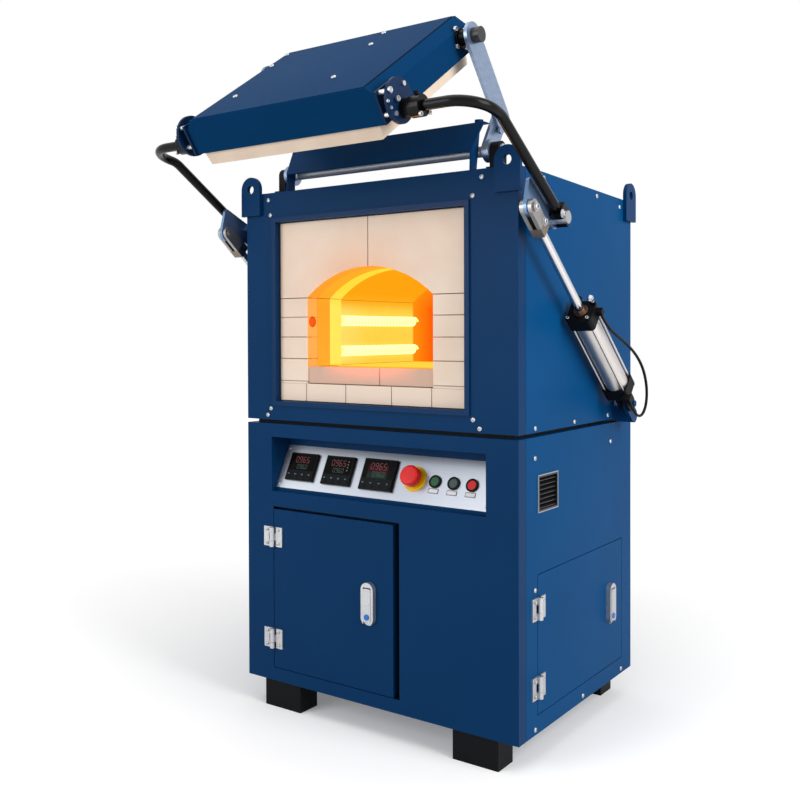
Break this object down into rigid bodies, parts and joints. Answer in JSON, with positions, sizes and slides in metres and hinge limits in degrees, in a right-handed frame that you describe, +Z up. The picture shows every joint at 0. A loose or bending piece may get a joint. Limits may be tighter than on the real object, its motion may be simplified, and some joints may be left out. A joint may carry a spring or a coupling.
{
  "type": "cupellation furnace",
  "caption": "Floor-standing electric fire-assay furnace: arched brick muffle over a control cabinet, with an insulated door raised on bent tube arms by side cylinders",
  "frame": {"origin": "on the floor, midway along the front face of the casing", "axes": "+Z up, +Y from the front face to the rear, +X to the right when facing the mouth"},
  "size_m": [0.974, 0.973, 1.6626],
  "materials": {
    "blue_paint": "semi-gloss blue powder coat",
    "black_paint": "satin black",
    "brushed_panel": "brushed along its length",
    "bright_steel": "bright plated steel",
    "anodised": "smooth drawn aluminium",
    "zinc": "silver zinc cast",
    "black_plastic": "satin black plastic",
    "grey_plastic": "grey plastic",
    "window": "smooth dark window",
    "yellow_plastic": "yellow plastic",
    "red_plastic": "red plastic",
    "green_plastic": "green plastic",
    "blue_plastic": "blue plastic",
    "white_plate": "white plate",
    "rubber": "black rubber",
    "firebrick": "pale fired brick",
    "fibre": "soft cream fibre board",
    "resistance_wire": "oxidised wire, hot"
  },
  "bodies": {
    "casing": {"feet": "black_paint", "cabinet_shell": "blue_paint", "cabinet_front": "blue_paint", "cabinet_right_side": "blue_paint", "spacer_rails": "black_paint", "control_recess": "blue_paint", "control_panel": "brushed_panel", "controllers": "black_plastic", "controller_windows": "window", "controller_keys": "grey_plastic", "stop_ring": "yellow_plastic", "switch_bezels": "black_plastic", "label_plates": "white_plate", "door_frames": "black_paint", "door_seals": "rubber", "hinge_fixed_halves": "zinc", "vent_grille": "anodised", "switchgear": "grey_plastic", "body_front": "blue_paint", "body_panels": "blue_paint", "mouth_trim": "blue_paint", "lifting_lugs": "blue_paint", "casing_screws": "zinc", "column_bricks": "firebrick", "sill_bricks": "firebrick", "arch_bricks": "firebrick", "lining_rings": "firebrick", "muffle_chamber": "firebrick", "heating_coils": "resistance_wire", "fibre_insulation": "fibre", "cross_beam": "blue_paint", "bearing_blocks": "black_paint", "pivot_mounts": "blue_paint"},
    "lift_arms": {"lift_arm_tubes": "black_paint", "crank_plates": "blue_paint"},
    "door": {"door_shell": "blue_paint", "door_insulation": "fibre", "door_hubs": "black_paint"},
    "rear_arm_pair": {"rear_arms": "anodised", "torque_shaft": "bright_steel"},
    "left_cylinder": {"left_cylinder_barrel": "anodised", "left_cylinder_heads": "black_paint", "left_cylinder_hose": "rubber"},
    "right_cylinder": {"right_cylinder_barrel": "anodised", "right_cylinder_heads": "black_paint", "right_cylinder_hose": "rubber"},
    "left_rod": {"left_cylinder_rod": "bright_steel"},
    "right_rod": {"right_cylinder_rod": "bright_steel"},
    "front_service_door": {"front_door_leaf": "blue_paint", "front_door_fittings": "zinc"},
    "front_lever": {"front_lock_lever": "zinc"},
    "front_release": {"front_lock_button": "blue_plastic"},
    "side_service_door": {"side_door_leaf": "blue_paint", "side_door_fittings": "zinc"},
    "side_lever": {"side_lock_lever": "zinc"},
    "side_release": {"side_lock_button": "blue_plastic"},
    "stop_switch": {"stop_head": "red_plastic"},
    "start_switch": {"start_button": "green_plastic"},
    "centre_switch": {"centre_button": "grey_plastic"},
    "off_switch": {"stop_button": "red_plastic"}
  },
  "joints": [
    {"name": "door_lift", "type": "hinge", "parent": "casing", "child": "lift_arms", "pos_m": [0, 0.076, 1.20949], "axis": [1, 0, 0], "range_deg": [0, 102.8]},
    {"name": "door_tilt", "type": "hinge", "parent": "lift_arms", "child": "door", "pos_m": [0, -0.27455, 1.40195], "axis": [1, 0, 0], "range_deg": [-47.4, 0.1]},
    {"name": "rear_arm_swing", "type": "hinge", "parent": "casing", "child": "rear_arm_pair", "pos_m": [0, 0.062, 1.36954], "axis": [1, 0, 0], "range_deg": [-0.1, 132.23]},
    {"name": "left_cylinder_swing", "type": "hinge", "parent": "casing", "child": "left_cylinder", "pos_m": [-0.442, 0.492, 0.782], "axis": [1, 0, 0], "range_deg": [-0.1, 1.82]},
    {"name": "left_rod_slide", "type": "slide", "parent": "left_cylinder", "child": "left_rod", "axis": [0, 0.7664, -0.6423], "range_m": [-0.0005, 0.1711]},
    {"name": "right_cylinder_swing", "type": "hinge", "parent": "casing", "child": "right_cylinder", "pos_m": [0.442, 0.492, 0.782], "axis": [1, 0, 0], "range_deg": [-0.1, 1.82]},
    {"name": "right_rod_slide", "type": "slide", "parent": "right_cylinder", "child": "right_rod", "axis": [0, 0.7664, -0.6423], "range_m": [-0.0005, 0.1711]},
    {"name": "front_service_door_swing", "type": "hinge", "parent": "casing", "child": "front_service_door", "pos_m": [-0.3095, -0.007, 0.3], "axis": [0, 0, -1], "range_deg": [0, 110]},
    {"name": "front_lever_flip", "type": "hinge", "parent": "front_service_door", "child": "front_lever", "pos_m": [-0.002, -0.009, 0.351], "axis": [-1, 0, 0], "range_deg": [0, 60]},
    {"name": "front_release_press", "type": "slide", "parent": "front_lever", "child": "front_release", "axis": [0, 1, 0], "range_m": [0, 0.002], "stiffness_N_per_m": 400},
    {"name": "side_service_door_swing", "type": "hinge", "parent": "casing", "child": "side_service_door", "pos_m": [0.406, 0.0875, 0.25], "axis": [0, 0, -1], "range_deg": [0, 110]},
    {"name": "side_lever_flip", "type": "hinge", "parent": "side_service_door", "child": "side_lever", "pos_m": [0.408, 0.48, 0.3065], "axis": [0, -1, 0], "range_deg": [0, 60]},
    {"name": "side_release_press", "type": "slide", "parent": "side_lever", "child": "side_release", "axis": [-1, 0, 0], "range_m": [0, 0.002], "stiffness_N_per_m": 400},
    {"name": "stop_head_press", "type": "slide", "parent": "casing", "child": "stop_switch", "axis": [0, 0.8988, -0.4384], "range_m": [0, 0.005], "stiffness_N_per_m": 1000},
    {"name": "start_press", "type": "slide", "parent": "casing", "child": "start_switch", "axis": [0, 0.8988, -0.4384], "range_m": [0, 0.003], "stiffness_N_per_m": 500},
    {"name": "centre_press", "type": "slide", "parent": "casing", "child": "centre_switch", "axis": [0, 0.8988, -0.4384], "range_m": [0, 0.003], "stiffness_N_per_m": 500},
    {"name": "off_press", "type": "slide", "parent": "casing", "child": "off_switch", "axis": [0, 0.8988, -0.4384], "range_m": [0, 0.003], "stiffness_N_per_m": 500}
  ],
  "couplings": [
    {"joint": "door_tilt", "follows": "door_lift", "ratio": -0.46013},
    {"joint": "rear_arm_swing", "follows": "door_lift", "ratio": 1.2853},
    {"joint": "left_cylinder_swing", "follows": "door_lift", "ratio": 0.01678},
    {"joint": "left_rod_slide", "follows": "door_lift", "m_per_rad": 0.095059},
    {"joint": "right_cylinder_swing", "follows": "door_lift", "ratio": 0.01678},
    {"joint": "right_rod_slide", "follows": "door_lift", "m_per_rad": 0.095059}
  ]
}
